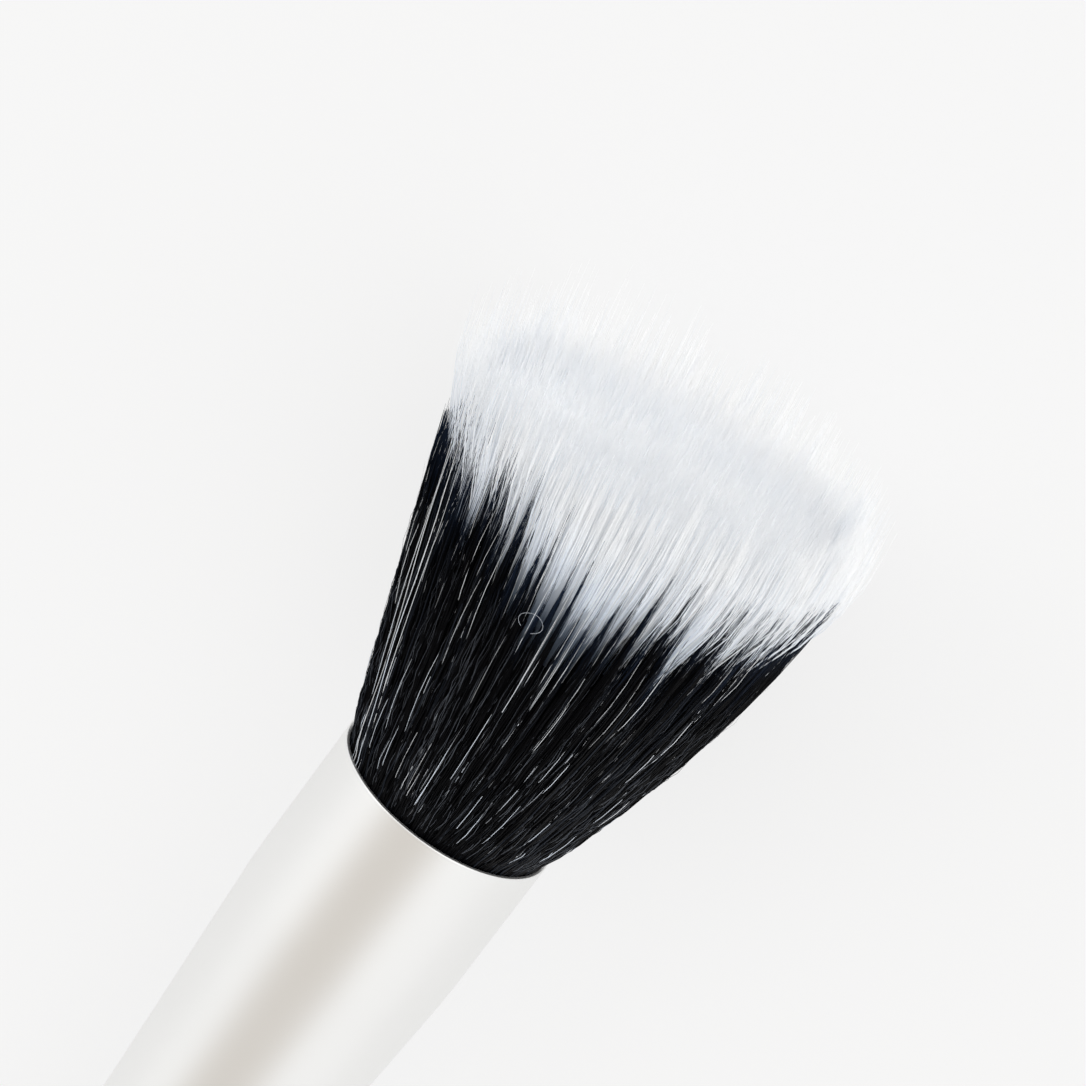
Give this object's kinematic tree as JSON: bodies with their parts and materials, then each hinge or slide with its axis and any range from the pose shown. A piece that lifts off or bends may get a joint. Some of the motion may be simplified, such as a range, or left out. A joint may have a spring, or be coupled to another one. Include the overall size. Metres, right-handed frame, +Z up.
{
  "type": "stippling brush",
  "caption": "Flat-topped makeup brush with a flared head of black and white fibres in a satin silver ferrule, lying on its side.",
  "frame": {"origin": "middle of the brush's box on the table that it lies on", "axes": "+X along the brush towards the tips of its fibres, +Z up from the table, +Y to the side that the head leans to"},
  "size_m": [0.1724, 0.038, 0.0368],
  "materials": {
    "ferrule": "satin anodised, pearl silver-white",
    "handle": "turned wood under a satin silver-white lacquer",
    "glue_plug": "cured amber epoxy, hidden",
    "black_fibres": "fine black synthetic fibre with a soft sheen",
    "white_fibres": "fine translucent white synthetic fibre"
  },
  "bodies": {
    "root": {"ferrule": "ferrule", "handle": "handle", "glue_plug": "glue_plug", "black_fibres": "black_fibres", "white_fibres": "white_fibres"}
  },
  "joints": []
}
